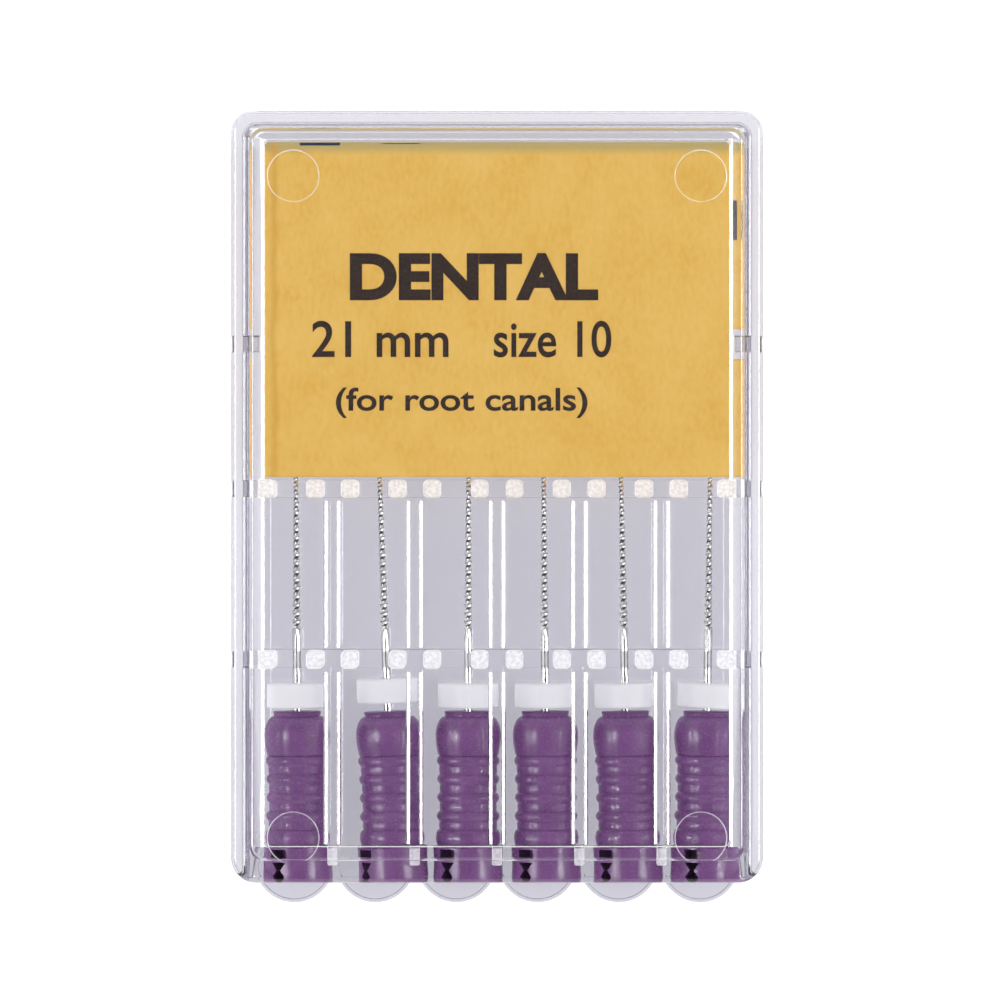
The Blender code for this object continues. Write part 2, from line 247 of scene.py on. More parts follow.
cardBoard = {
    "dark": "#deaf51",
    "color": "#e3b75c",
    "light": "#e7bd65",
    "roughness": 0.6,
    "fibreSize": 0.25,
    "fibreShape": (1.0, 0.5, 1.0),
    "fibreHeight": 0.02,
    "cloudSize": 3.0,
    "fold": "#b9a468",  # painted shade, greyer where the board turns over at the fold
    "foldFrom": 0.85,  # distances from the folded end
    "foldTo": 0.15,
    # painted shade in a band near the left edge, where the board curls down
    "curlShade": "#cf9c3f",
    "curlShadeAt": -13.55,
    "curlShadeReach": 0.4,
    "curlShadeWander": 0.6,
    "curlShadeShare": 0.6,
}


def goldBoard():
    # Uncoated gold paper board: short fibres, soft clouding, nearly matt, with painted shade towards the
    # fold and along the curled left edge.
    material, tree, shader = newMaterial("uncoated gold paper board", {
        "Roughness": cardBoard["roughness"], "Specular IOR Level": 0.3,
    })
    spot = addNode(tree, "ShaderNodeTexCoord")
    place = addNode(tree, "ShaderNodeSeparateXYZ", inputs=[(spot, "Object")])
    fibreSpace = addNode(tree, "ShaderNodeMapping", inputs={
        "Vector": (spot, "Object"), "Scale": cardBoard["fibreShape"],
    })
    fibres = addNode(tree, "ShaderNodeTexNoise", inputs={
        "Vector": fibreSpace, "Scale": 1 / (cardBoard["fibreSize"] * toMetres), "Detail": 4.0,
    })
    clouds = addNode(tree, "ShaderNodeTexNoise", inputs={
        "Vector": (spot, "Object"), "Scale": 1 / (cardBoard["cloudSize"] * toMetres), "Detail": 2.0,
    })
    both = addNode(tree, "ShaderNodeMath", plus, [(fibres, "Fac"), (clouds, "Fac")])
    half = addNode(tree, "ShaderNodeMath", times, [both, 0.5])
    ramp = addNode(tree, "ShaderNodeValToRGB", inputs=[half])
    setStops(ramp, [
        (level, linear(cardBoard[shade]))
        for level, shade in ((0.36, "dark"), (0.5, "color"), (0.64, "light"))
    ])
    # Painted shade: the board is greyed towards the fold, where it turns away from the light.
    foldShade = addNode(tree, "ShaderNodeMapRange", {"interpolation_type": "SMOOTHSTEP"}, {
        "Value": (place, "Y"), "From Min": (cardFlapY - cardBoard["foldFrom"]) * toMetres,
        "From Max": (cardFlapY - cardBoard["foldTo"]) * toMetres,
    })
    # Painted shade: a wandering band near the left edge, where the board curls away from the light.
    wander, middle = cardBoard["curlShadeWander"], cardBoard["curlShadeAt"] + cardBoard["curlShadeWander"] / 2
    bent = addNode(tree, "ShaderNodeMath", {"operation": "MULTIPLY_ADD"}, [
        (clouds, "Fac"), wander * toMetres, (place, "X"),
    ])
    offset = addNode(tree, "ShaderNodeMath", {"operation": "SUBTRACT"}, [bent, middle * toMetres])
    curlShaded = addNode(tree, "ShaderNodeMapRange", {"interpolation_type": "SMOOTHSTEP"}, {
        "Value": addNode(tree, "ShaderNodeMath", unsigned, [offset]),
        "From Min": 0.0, "From Max": cardBoard["curlShadeReach"] * toMetres,
        "To Min": cardBoard["curlShadeShare"], "To Max": 0.0,
    })
    color = (ramp, "Color")
    for share, tint in ((foldShade, "fold"), (curlShaded, "curlShade")):
        mixed = addNode(tree, "ShaderNodeMix", {"data_type": "RGBA"}, {
            "Factor": share, "A": color, "B": linear(cardBoard[tint]),
        })
        color = (mixed, "Result")
    tree.links.new(mixed.outputs["Result"], shader.inputs["Base Color"])
    bump = addNode(tree, "ShaderNodeBump", inputs={
        "Height": (fibres, "Fac"), "Distance": cardBoard["fibreHeight"] * toMetres, "Strength": 0.5,
    })
    tree.links.new(bump.outputs["Normal"], shader.inputs["Normal"])
    return material


inkLook = {"roughness": 0.55, "fibreSize": 0.2, "faded": 0.9, "lift": 0.02}


def printInk(name, color):
    # Offset ink on uncoated board: matt, a little uneven where the fibres drink it.
    material, tree, shader = newMaterial(name, {
        "Roughness": inkLook["roughness"], "Specular IOR Level": 0.3,
    })
    spot = addNode(tree, "ShaderNodeTexCoord")
    fibres = addNode(tree, "ShaderNodeTexNoise", inputs={
        "Vector": (spot, "Object"), "Scale": 1 / (inkLook["fibreSize"] * toMetres), "Detail": 3.0,
    })
    ramp = addNode(tree, "ShaderNodeValToRGB", inputs={"Fac": (fibres, "Fac")})
    base = linear(color)
    thin = tuple(inkLook["faded"] * c + inkLook["lift"] for c in base[:3]) + (1.0,)
    setStops(ramp, [(0.4, base), (0.8, thin)])
    tree.links.new(ramp.outputs["Color"], shader.inputs["Base Color"])
    return material


nylonLook = {
    "color": "#785082",
    "dark": "#6e4779",
    "cloudSize": 1.6,
    "roughness": 0.26,
    "roughnessSpread": 0.06,
    "grainSize": 0.12,
    "grainHeight": 0.006,
}


def purpleNylon():
    # Purple nylon moulded over the shaft: satin, with slight clouding in the pigment.
    material, tree, shader = newMaterial("purple moulded nylon", {"IOR": 1.53})
    spot = addNode(tree, "ShaderNodeTexCoord")
    clouds = addNode(tree, "ShaderNodeTexNoise", inputs={
        "Vector": (spot, "Object"), "Scale": 1 / (nylonLook["cloudSize"] * toMetres), "Detail": 3.0,
    })
    ramp = addNode(tree, "ShaderNodeValToRGB", inputs={"Fac": (clouds, "Fac")})
    setStops(ramp, [(0.35, linear(nylonLook["dark"])), (0.65, linear(nylonLook["color"]))])
    tree.links.new(ramp.outputs["Color"], shader.inputs["Base Color"])
    grain = addNode(tree, "ShaderNodeTexNoise", inputs={
        "Vector": (spot, "Object"), "Scale": 1 / (nylonLook["grainSize"] * toMetres), "Detail": 2.0,
    })
    satin = addNode(tree, "ShaderNodeMapRange", inputs={
        "Value": (grain, "Fac"), "To Min": nylonLook["roughness"] - nylonLook["roughnessSpread"],
        "To Max": nylonLook["roughness"] + nylonLook["roughnessSpread"],
    })
    tree.links.new(satin.outputs["Result"], shader.inputs["Roughness"])
    bump = addNode(tree, "ShaderNodeBump", inputs={
        "Height": (grain, "Fac"), "Distance": nylonLook["grainHeight"] * toMetres, "Strength": 0.6,
    })
    tree.links.new(bump.outputs["Normal"], shader.inputs["Normal"])
    return material


steelLook = {
    "color": "#dddcda",
    "lineSize": 0.03,
    "lineShape": (1.0, 0.05, 1.0),
    "smoothest": 0.06,
    "roughest": 0.14,
}


def stainlessSteel():
    # Stainless steel wire, ground square and twisted bright: fine lengthwise drawing lines.
    material, tree, shader = newMaterial("bright twisted stainless steel", {
        "Metallic": 1.0, "Base Color": linear(steelLook["color"]),
    })
    spot = addNode(tree, "ShaderNodeTexCoord")
    lineSpace = addNode(tree, "ShaderNodeMapping", inputs={
        "Vector": (spot, "Object"), "Scale": steelLook["lineShape"],
    })
    lines = addNode(tree, "ShaderNodeTexNoise", inputs={
        "Vector": lineSpace, "Scale": 1 / (steelLook["lineSize"] * toMetres), "Detail": 2.0,
    })
    satin = addNode(tree, "ShaderNodeMapRange", inputs={
        "Value": (lines, "Fac"), "To Min": steelLook["smoothest"], "To Max": steelLook["roughest"],
    })
    tree.links.new(satin.outputs["Result"], shader.inputs["Roughness"])
    return material


siliconeLook = {
    "color": "#e4e3e7",
    "depth": 0.6,  # how far light passes in
    "depthShare": 0.15,
    "grainSize": 0.3,
    "grainHeight": 0.01,
    "smoothest": 0.42,
    "roughest": 0.55,
}


def whiteSilicone():
    # White silicone rubber, moulded: soft sheen, light passes a little way in.
    material, tree, shader = newMaterial("white moulded silicone rubber", {
        "Base Color": linear(siliconeLook["color"]), "IOR": 1.41,
        "Subsurface Weight": siliconeLook["depthShare"], "Subsurface Radius": (0.4, 0.38, 0.36),
        "Subsurface Scale": siliconeLook["depth"] * toMetres,
    })
    spot = addNode(tree, "ShaderNodeTexCoord")
    grain = addNode(tree, "ShaderNodeTexNoise", inputs={
        "Vector": (spot, "Object"), "Scale": 1 / (siliconeLook["grainSize"] * toMetres), "Detail": 3.0,
    })
    satin = addNode(tree, "ShaderNodeMapRange", inputs={
        "Value": (grain, "Fac"),
        "To Min": siliconeLook["smoothest"], "To Max": siliconeLook["roughest"],
    })
    tree.links.new(satin.outputs["Result"], shader.inputs["Roughness"])
    bump = addNode(tree, "ShaderNodeBump", inputs={
        "Height": (grain, "Fac"), "Distance": siliconeLook["grainHeight"] * toMetres, "Strength": 0.4,
    })
    tree.links.new(bump.outputs["Normal"], shader.inputs["Normal"])
    return material


# Mesh helpers

def toMesh(shape, name):
    bmesh.ops.recalc_face_normals(shape, faces=shape.faces)
    mesh = bpy.data.meshes.new(name)
    shape.to_mesh(mesh)
    shape.free()
    return mesh


def bevelled(shape, edges, radius, segments):
    if edges and radius:
        bmesh.ops.bevel(
            shape, geom=edges, offset=radius, segments=segments, profile=0.5,
            affect="EDGES", clamp_overlap=True, material=-1,
        )


def isUpright(edge):
    start, end = edge.verts
    return abs(start.co.z - end.co.z) > touching and (start.co.xy - end.co.xy).length < touching


def addBlock(shape, low, high, corners=(0, 0), top=0, bottom=0, segments=5):
    # A box with rounded upright corners at its mouth and label ends, and rounded top and bottom rims.
    low, high = Vector(low), Vector(high)
    size = Matrix.Diagonal((*(high - low), 1.0))
    block = bmesh.new()
    bmesh.ops.create_cube(block, size=1.0, matrix=Matrix.Translation((low + high) / 2) @ size)
    middleY = (low.y + high.y) / 2
    for radius, atLabelEnd in ((corners[0], False), (corners[1], True)):
        upright = [
            edge for edge in block.edges
            if isUpright(edge) and (edge.verts[0].co.y > middleY) == atLabelEnd
        ]
        bevelled(block, upright, radius, segments + 3)
    for level, radius in ((high.z, top), (low.z, bottom)):
        rim = [edge for edge in block.edges if all(abs(v.co.z - level) < touching for v in edge.verts)]
        bevelled(block, rim, radius, segments)
    copyInto(block, shape)


def copyInto(part, shape):
    mesh = bpy.data.meshes.new("part")
    part.to_mesh(mesh)
    part.free()
    shape.from_mesh(mesh)
    bpy.data.meshes.remove(mesh)


def blocks(rows, **rounding):
    shape = bmesh.new()
    for low, high in rows:
        addBlock(shape, low, high, **rounding)
    return toMesh(shape, "blocks")


def sideBlock(side, inner, outer, start, end, low, high):
    near, far = sorted((side * inner, side * outer))
    return (near, start, low), (far, end, high)


def discs(centres, radius, low, high, edge=0.0, sides=64):
    shape = bmesh.new()
    for x, y in centres:
        disc = bmesh.new()
        bmesh.ops.create_cone(
            disc, cap_ends=True, segments=sides, radius1=radius, radius2=radius, depth=high - low,
            matrix=Matrix.Translation((x, y, (low + high) / 2)),
        )
        rim = [e for e in disc.edges if abs(e.verts[0].co.z - e.verts[1].co.z) < touching]
        bevelled(disc, rim, edge, 4)
        copyInto(disc, shape)
    return toMesh(shape, "discs")


def carved(base, steps):
    # Unites or cuts closed meshes one after another and returns the result as one mesh.
    holder = bpy.data.objects.new("holder", base)
    bpy.context.scene.collection.objects.link(holder)
    helpers = []
    for operation, mesh in steps:
        helper = bpy.data.objects.new("helper", mesh)
        bpy.context.scene.collection.objects.link(helper)
        helpers.append(helper)
        modifier = holder.modifiers.new("carve", "BOOLEAN")
        modifier.operation = operation
        modifier.solver = "EXACT"
        modifier.object = helper
    bpy.context.view_layer.update()
    evaluated = holder.evaluated_get(bpy.context.evaluated_depsgraph_get())
    result = bpy.data.meshes.new_from_object(evaluated)
    for thing in [holder, *helpers]:
        bpy.data.objects.remove(thing)
    return result


def turned(profile, steps):
    # A turned solid about +Z, from (radius, height) points that start and end on the axis or close.
    shape = bmesh.new()
    points = [shape.verts.new((radius, 0.0, height)) for radius, height in profile]
    for start, end in zip(points, points[1:]):
        shape.edges.new((start, end))
    bmesh.ops.spin(
        shape, geom=shape.verts[:] + shape.edges[:], cent=(0, 0, 0), axis=(0, 0, 1),
        angle=math.tau, steps=steps, use_merge=True,
    )
    bmesh.ops.remove_doubles(shape, verts=shape.verts, dist=touching)
    return toMesh(shape, "turned")


def finishPiece(name, mesh, body, material, nodes=(), sharp=35.0, evenNormals=False):
    mesh.transform(Matrix.Scale(toMetres, 4))
    mesh.name = name
    mesh.materials.clear()
    mesh.materials.append(material)
    mesh.shade_smooth()
    mesh.set_sharp_from_angle(angle=math.radians(sharp))
    piece = bpy.data.objects.new(name, mesh)
    bpy.context.scene.collection.objects.link(piece)
    if evenNormals:
        even = piece.modifiers.new("flat faces stay flat", "WEIGHTED_NORMAL")
        even.keep_sharp = True
        even.weight = 100
    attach(piece, body)
    if nodes:
        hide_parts(*nodes)
    return piece


# Tray

tray = {
    "floorTop": 0.95,
    "floorHalfWidth": 15.0,
    "floorCorners": (0.3, 0.8),  # at the mouth and at the label end
    "labelEndGap": 1.0,
    "edge": 0.12,
    "flangeHalfWidth": trayHigh.x,
    "flangeUnder": 0.5,
    "sideWallTop": 2.4,
    "sideWallRound": 0.15,
    "sideWallGaps": (0.1, 1.0),  # how far it stops short of the floor's ends
    "crossWallTop": trayHigh.z,
    "cradleHalfWidth": 1.35,
    "cradleFloor": 2.85,
    "endWallTop": 3.3,
    "endWallHalfWidth": 14.1,
    "endWallAt": (2.7, 2.1),  # distances from the label end
    "tongueRadius": 2.45,
    "tongueUnder": 0.03,
    "tongueDrop": 0.05,  # its face lies this much under the floor's
    "rimWidth": 0.2,
    "dishDepth": 0.22,
}


def makeTray(plastic):
    # Joined blocks reach a little into one another, so that no two faces lie in one plane.
    wide, flange, top = tray["floorHalfWidth"], tray["flangeHalfWidth"], tray["floorTop"]
    endY = labelY - tray["labelEndGap"]
    floor = blocks(
        [((-wide, mouthY, 0), (wide, endY, top))],
        corners=tray["floorCorners"], top=tray["edge"], bottom=0.1,
    )
    mouthGap, endGap = tray["sideWallGaps"]
    rounding = tray["sideWallRound"]
    rails = blocks([
        sideBlock(side, wide - 0.05, flange, mouthY + mouthGap, endY - endGap, tray["flangeUnder"],
                  tray["sideWallTop"])
        for side in (-1, 1)
    ], corners=(rounding, rounding), top=rounding, bottom=0.1)
    walls = blocks([
        ((-wide - 0.2, y - crossWallHalf, top - 0.3),
         (wide + 0.2, y + crossWallHalf, tray["cradleFloor"]))
        for y in crossWalls
    ], top=tray["edge"])
    cradle, thick = tray["cradleHalfWidth"], crossWallHalf - 0.02
    edges = [-wide - 0.15] + [x + side * cradle for x in bayCentres for side in (-1, 1)] + [wide + 0.15]
    posts = blocks([
        ((left, y - thick, top + 0.5), (right, y + thick, tray["crossWallTop"]))
        for left, right in zip(edges[::2], edges[1::2]) for y in crossWalls
    ])
    half, (endFrom, endTo) = tray["endWallHalfWidth"], tray["endWallAt"]
    endWall = blocks([
        ((-half, labelY - endFrom, top - 0.3), (half, labelY - endTo, tray["endWallTop"])),
    ], top=0.15)
    radius, tongueTop = tray["tongueRadius"], top - tray["tongueDrop"]
    centres = [(x, trayLow.y + radius) for x in bayCentres]
    tongues = discs(centres, radius, tray["tongueUnder"], tongueTop, edge=0.15)
    dishes = discs(centres, radius - tray["rimWidth"], tongueTop - tray["dishDepth"], top + 2, edge=0.12)
    mesh = carved(floor, [
        ("UNION", rails), ("UNION", walls), ("UNION", posts), ("UNION", endWall), ("UNION", tongues),
        ("DIFFERENCE", dishes),
    ])
    return finishPiece("tray_shell", mesh, "tray", plastic, ["tray"], evenNormals=True)


# Cover

cover = {
    "halfWidth": coverHigh.x,
    "wall": 0.65,
    "mouthCorner": 1.5,
    "labelCorner": 1.25,
    "outerEdge": 0.4,
    "shoulderTop": 6.25,
    "shoulderUnder": 5.5,
    "panelTop": coverHigh.z,
    "panelHalfWidth": 15.0,
    "panelMouthGap": 1.4,
    "panelLabelGap": 1.05,
    "panelCorner": 0.85,
    "panelEdge": 0.3,
    "recessInset": 0.82,  # walls of the hollow under the panel: side, mouth end, label end
    "recessMouthInset": 0.8,
    "recessLabelInset": 0.66,
    "recessCorner": 0.5,
    "recessRound": 0.12,
    "flareTop": 6.02,
    "lipHeight": 0.4,
    "lipReach": 0.4,
    "lipStart": 1.5,
    "ribWidth": 0.72,
    "ribRound": 0.125,
    "ribDraft": 0.58,
    "ribUnder": 5.2,
    "ribGap": 0.2,  # between a rib's end and what it points at
    "ribStart": 1.05,
    "ribEndTop": 5.95,
    "barUnder": 3.7,
    "notchHalf": 0.91,
    "blockReach": 1.98,
    "blockRound": 0.16,
    "blockCorner": 0.28,
    "keeperStart": 14.45,  # the brackets that sit in the card's notches
    "markRadius": 1.57,
    "markDepth": 0.06,
    "markRim": 0.032,
    "markFromSide": 2.65,
    "markFromMouth": 1.4,
    "markFromLabel": 2.95,
}
panelMouthY = mouthY + cover["panelMouthGap"]
panelLabelY = labelY - cover["panelLabelGap"]
markX = cover["panelHalfWidth"] - cover["markFromSide"]
markYs = (panelMouthY + cover["markFromMouth"], panelLabelY - cover["markFromLabel"])


def roundedRibs(spans):
    # Ribs with rounded feet from (x, start, end), wider at their roots, with upright ends.
    shape = bmesh.new()
    under, top = cover["ribUnder"], cover["shoulderTop"] + 0.3
    for x, start, end in spans:
        rib = bmesh.new()
        middle = Matrix.Translation((x, (start + end) / 2, (under + top) / 2))
        size = Matrix.Diagonal((cover["ribWidth"], end - start, top - under, 1.0))
        bmesh.ops.create_cube(rib, size=1.0, matrix=middle @ size)
        feet = [
            e for e in rib.edges if all(abs(v.co.z - under) < touching for v in e.verts)
            and abs(e.verts[0].co.x - e.verts[1].co.x) < touching
        ]
        bevelled(rib, feet, cover["ribRound"], 6)
        for v in rib.verts:
            v.co.x = x + (v.co.x - x) * (1 + cover["ribDraft"] * (v.co.z - under) / (top - under))
        copyInto(rib, shape)
    return toMesh(shape, "ribs")


def flaredCutter(half, mouth, label):
    # The panel's side walls slope outwards below a short upright step.
    shape = bmesh.new()
    top, low = cover["flareTop"], cover["shoulderUnder"] - 0.15
    reach = cover["recessInset"] * (top - low) / (top - cover["shoulderUnder"])
    addBlock(shape, (-half, mouth + 0.01, low), (half, label - 0.01, top))
    for v in shape.verts:
        if v.co.z < top - touching:
            v.co.x *= (half + reach) / half
    return toMesh(shape, "flare")


def coverBars():
    # Two cross-bars of small blocks, one on each side of every file, and the brackets at the side walls.
    shape = bmesh.new()
    corner, inner = cover["blockCorner"], cover["halfWidth"] - cover["wall"]
    for x in bayCentres:
        for side in (-1, 1):
            for y in crossWalls[:2]:
                near, far = sorted((x + side * cover["notchHalf"], x + side * cover["blockReach"]))
                addBlock(
                    shape, (near, y - crossWallHalf, cover["barUnder"]),
                    (far, y + crossWallHalf, cover["shoulderTop"] + 0.3), corners=(corner, corner),
                    bottom=cover["blockRound"],
                )
    blockEnd, thick = bayCentres[-1] + cover["blockReach"] - 0.3, crossWallHalf - 0.05
    brackets = blocks([
        sideBlock(side, start, inner + 0.3, y - thick, y + thick, cover["barUnder"] + 0.05,
                  cover["shoulderUnder"] + 0.3)
        for side in (-1, 1) for y, start in zip(crossWalls, (blockEnd, blockEnd, cover["keeperStart"]))
    ], bottom=0.1)
    return toMesh(shape, "bar blocks"), brackets


def makeCover(plastic):
    half, wall, wide = cover["halfWidth"], cover["wall"], cover["panelHalfWidth"]
    inner, shoulderTop, shoulderUnder = half - wall, cover["shoulderTop"], cover["shoulderUnder"]
    shell = blocks(
        [((-half, mouthY, 0), (half, labelY, shoulderTop))],
        corners=(cover["mouthCorner"], cover["labelCorner"]), top=cover["outerEdge"], bottom=0.15,
        segments=7,
    )
    corner = cover["panelCorner"]
    panel = blocks(
        [((-wide, panelMouthY, shoulderTop - 0.3), (wide, panelLabelY, cover["panelTop"]))],
        corners=(corner, corner), top=cover["panelEdge"], segments=6,
    )
    cavity = blocks(
        [((-inner, mouthY - 2, -1), (inner, labelY - wall, shoulderUnder))],
        corners=(0.3, cover["labelCorner"] - wall / 2), top=0.25, segments=6,
    )
    recessHalf = wide - cover["recessInset"]
    recessMouth = panelMouthY + cover["recessMouthInset"]
    recessLabel = panelLabelY - cover["recessLabelInset"]
    corner = cover["recessCorner"]
    recess = blocks(
        [((-recessHalf, recessMouth, shoulderUnder - 0.6), (recessHalf, recessLabel, shoulderTop))],
        corners=(corner, corner), top=cover["recessRound"], segments=5,
    )
    flare = flaredCutter(recessHalf, recessMouth, recessLabel)
    lips = blocks([
        sideBlock(side, inner - cover["lipReach"], inner + 0.3, mouthY + cover["lipStart"],
                  labelY - wall / 2, 0, cover["lipHeight"])
        for side in (-1, 1)
    ], top=0.12)
    beside, inside = crossWallHalf + cover["ribGap"], recessMouth + cover["ribGap"]
    spans = ((inside, crossWalls[0] - beside), (crossWalls[0] + beside, crossWalls[1] - beside))
    ribs = roundedRibs([(x, start, end) for start, end in spans for x in dividers])
    narrow = cover["ribWidth"] / 2 - 0.05
    ribEnds = blocks([
        ((x - narrow, mouthY + cover["ribStart"], cover["ribUnder"] + 0.04),
         (x + narrow, inside + 0.3, cover["ribEndTop"]))
        for x in dividers
    ], corners=(0.12, 0), bottom=0.06)
    barBlocks, brackets = coverBars()
    marks = discs(
        [(side * markX, y) for side in (-1, 1) for y in markYs],
        cover["markRadius"], cover["panelTop"] - cover["markDepth"], cover["panelTop"] + 1,
        edge=0.03, sides=96,
    )
    mesh = carved(shell, [
        ("UNION", panel), ("DIFFERENCE", cavity), ("DIFFERENCE", recess), ("DIFFERENCE", flare),
        ("DIFFERENCE", marks), ("UNION", lips), ("UNION", ribs), ("UNION", ribEnds), ("UNION", barBlocks),
        ("UNION", brackets),
    ])
    return finishPiece("cover_shell", mesh, "cover", plastic, ["cover"], evenNormals=True)


# Label card

card = {
    "thickness": 0.2,
    "foldRadius": 0.5,
    "columns": 198,
    "rows": 160,
    "sag": 0.03,
    "wave": 0.05,
    "sideCurl": 0.16,
    "rightShare": 0.6,  # of the left side's curl
    "curlReach": (1.0, 0.9),
    "notchHalf": 0.85,
    "notchInner": 14.2,
}
cardFlat = cardHigh.z - card["thickness"] / 2
cardFlapY = cardHigh.y - card["thickness"] / 2


def cardHeight(x, y):
    # How far the card's middle layer lies above or below its flat level.
    left, right = (x - cardLow.x) / card["curlReach"][0], (cardHigh.x - x) / card["curlReach"][1]
    curl = card["sideCurl"] * (math.exp(-left ** 2) + card["rightShare"] * math.exp(-right ** 2))
    wave = card["wave"] * math.sin(0.23 * x + 0.6) * math.sin(0.31 * (y - cardLow.y))
    return wave - curl - card["sag"]


def makeCard(board):
    radius, flat = card["foldRadius"], cardFlat
    straight = cardFlapY - radius - cardLow.y
    turn = radius * math.pi / 2
    drop = flat - radius - cardLow.z
    total = straight + turn + drop
    shape = bmesh.new()
    bmesh.ops.create_grid(shape, x_segments=card["columns"], y_segments=card["rows"], size=0.5)
    width = cardHigh.x - cardLow.x
    bmesh.ops.scale(shape, verts=shape.verts, vec=(width, total, 1))
    bmesh.ops.translate(shape, verts=shape.verts, vec=((cardLow.x + cardHigh.x) / 2, total / 2, 0))
    third = crossWalls[2] - cardLow.y
    inNotch = [
        face for face in shape.faces
        if abs(face.calc_center_median().x) > card["notchInner"]
        and abs(face.calc_center_median().y - third) < card["notchHalf"]
    ]
    bmesh.ops.delete(shape, geom=inNotch, context="FACES")
    for v in shape.verts:
        x, along = v.co.x, v.co.y
        if along <= straight:
            v.co = (x, cardLow.y + along, flat + cardHeight(x, cardLow.y + along))
        elif along <= straight + turn:
            angle = (along - straight) / radius
            v.co = (
                x, cardFlapY - radius + radius * math.sin(angle),
                flat - radius + radius * math.cos(angle) + cardHeight(x, cardFlapY - radius),
            )
        else:
            down = along - straight - turn
            ease = 1 - down / drop
            v.co = (x, cardFlapY, flat - radius - down + ease * cardHeight(x, cardFlapY - radius))
    mesh = toMesh(shape, "card")
    piece = finishPiece("gold_label_card", mesh, "cover", board, ["label_card"], sharp=50)
    thick = piece.modifiers.new("board thickness", "SOLIDIFY")
    thick.thickness = card["thickness"] * toMetres
    thick.offset = 0.0
    return piece


printing = {
    "ink": "#2b1c16",
    "barInk": "#1d2740",
    "lift": 0.012,
    "capHeight": 0.729,  # of the built-in font, for size 1
    "lines": [
        # words, left x, right x, baseline y, cap height, how much bolder
        ("DENTAL", -8.95, 6.15, 12.9, 2.7, 0.045),
        ("21 mm", -11.25, -2.95, 9.32, 2.25, 0.012),
        ("size 10", -0.2, 6.95, 9.32, 2.25, 0.012),
        ("(for root canals)", -9.8, 5.5, 6.05, 1.42, 0.016),
    ],
    "bars": [
        # left, right, low, high
        (-12.0, -9.55, 22.16, 22.34),
        (-7.0, -4.7, 22.25, 22.3),
        (14.62, 14.78, 16.4, 18.8),
    ],
}


def makeBars(ink):
    # Plain bars stand for the small print over the fold and beside the card's right edge.
    shape = bmesh.new()
    for left, right, low, high in printing["bars"]:
        strip = bmesh.new()
        bmesh.ops.create_grid(strip, x_segments=12, y_segments=12, size=0.5)
        for v in strip.verts:
            x = left + (v.co.x + 0.5) * (right - left)
            y = low + (v.co.y + 0.5) * (high - low)
            drop = max(y - (cardFlapY - card["foldRadius"]), 0.0)
            radius = card["foldRadius"] + card["thickness"] / 2 + printing["lift"]
            bent = math.sqrt(max(radius ** 2 - drop ** 2, 0.0)) - radius
            v.co = (x, y, cardFlat + card["thickness"] / 2 + cardHeight(x, y) + printing["lift"] + bent)
        copyInto(strip, shape)
    finishPiece("print_bars", toMesh(shape, "bars"), "cover", ink)


def makePrint(ink):
    for number, (words, left, right, base, height, bold) in enumerate(printing["lines"], 1):
        text = bpy.data.curves.new("words", "FONT")
        text.body = words
        text.offset = bold
        text.resolution_u = 8
        holder = bpy.data.objects.new("words", text)
        bpy.context.scene.collection.objects.link(holder)
        bpy.context.view_layer.update()
        evaluated = holder.evaluated_get(bpy.context.evaluated_depsgraph_get())
        mesh = bpy.data.meshes.new_from_object(evaluated)
        bpy.data.objects.remove(holder)
        xs = [v.co.x for v in mesh.vertices]
        across, up = (right - left) / (max(xs) - min(xs)), height / printing["capHeight"]
        for v in mesh.vertices:
            x = left + (v.co.x - min(xs)) * across
            y = base + v.co.y * up
            v.co = (x, y, cardFlat + card["thickness"] / 2 + cardHeight(x, y) + printing["lift"])
        finishPiece(f"print_line_{number}", mesh, "cover", ink)


# Files

files = {
    "rolls": (-33, -52, -38, -38, -42, -25),  # degrees that each handle is rolled
    "tang": 5.0,  # length of steel inside the handle
}


def shaftEnds(node):
    # The middle of a shaft's two ends, in millimetres: the tang end and the tip.
    points = [v.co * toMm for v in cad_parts[node].data.vertices]
    lowest, highest = min(p.y for p in points), max(p.y for p in points)
    ends = []
    for level in (lowest, highest):
        ring = [p for p in points if abs(p.y - level) < 0.04]
        ends.append(sum(ring, Vector()) / len(ring))
    return ends


def filePlace(number):
    # Turns local +Z, from the handle's top face towards the tip, into the file's place in the case.
    tang, tip = shaftEnds(f"steel_{number}")
    along = (tip - tang).normalized()
    start = tang + along * files["tang"]
    upright = Matrix.Rotation(math.radians(-90), 4, "X")
    tilt = math.atan2(-along.x, along.y)
    return Matrix.Translation(start) @ Matrix.Rotation(tilt, 4, "Z") @ upright


handle = {
    "length": 10.35,
    "steps": 72,  # round the handle
    "samples": 170,  # along it
    "bore": 0.28,
    "collarEnd": 0.3,  # ends of the parts, counted from the handle's top
    "bulbTop": 1.5,
    "ringsStart": 2.7,
    "ringsEnd": 7.22,
    "wideRingEnd": 8.25,
    "neckRadius": 1.42,
    "neckLip": 0.06,
    "bulbRadius": 2.0,
    "bulbFall": 0.16,
    "waist": 1.71,
    "waistRise": 0.03,
    "ringPitch": 1.13,
    "ringWidth": 0.62,
    "ringRise": 0.17,
    "wideRingRadius": 1.8,
    "wideRingRise": 0.18,
    "endRadius": 2.155,
    "endBelly": 0.05,
    "endMiddle": 9.25,
    "endSpan": 2.2,
    "endRound": 0.25,
    "slot": ((-0.56, -3, -9.0), (0.56, -0.9, -8.36)),  # low and high corners
    "waistedSlot": ((-0.5, -3, -10.12), (0.5, -0.9, -9.16)),
    "slotWaist": 0.3,
}


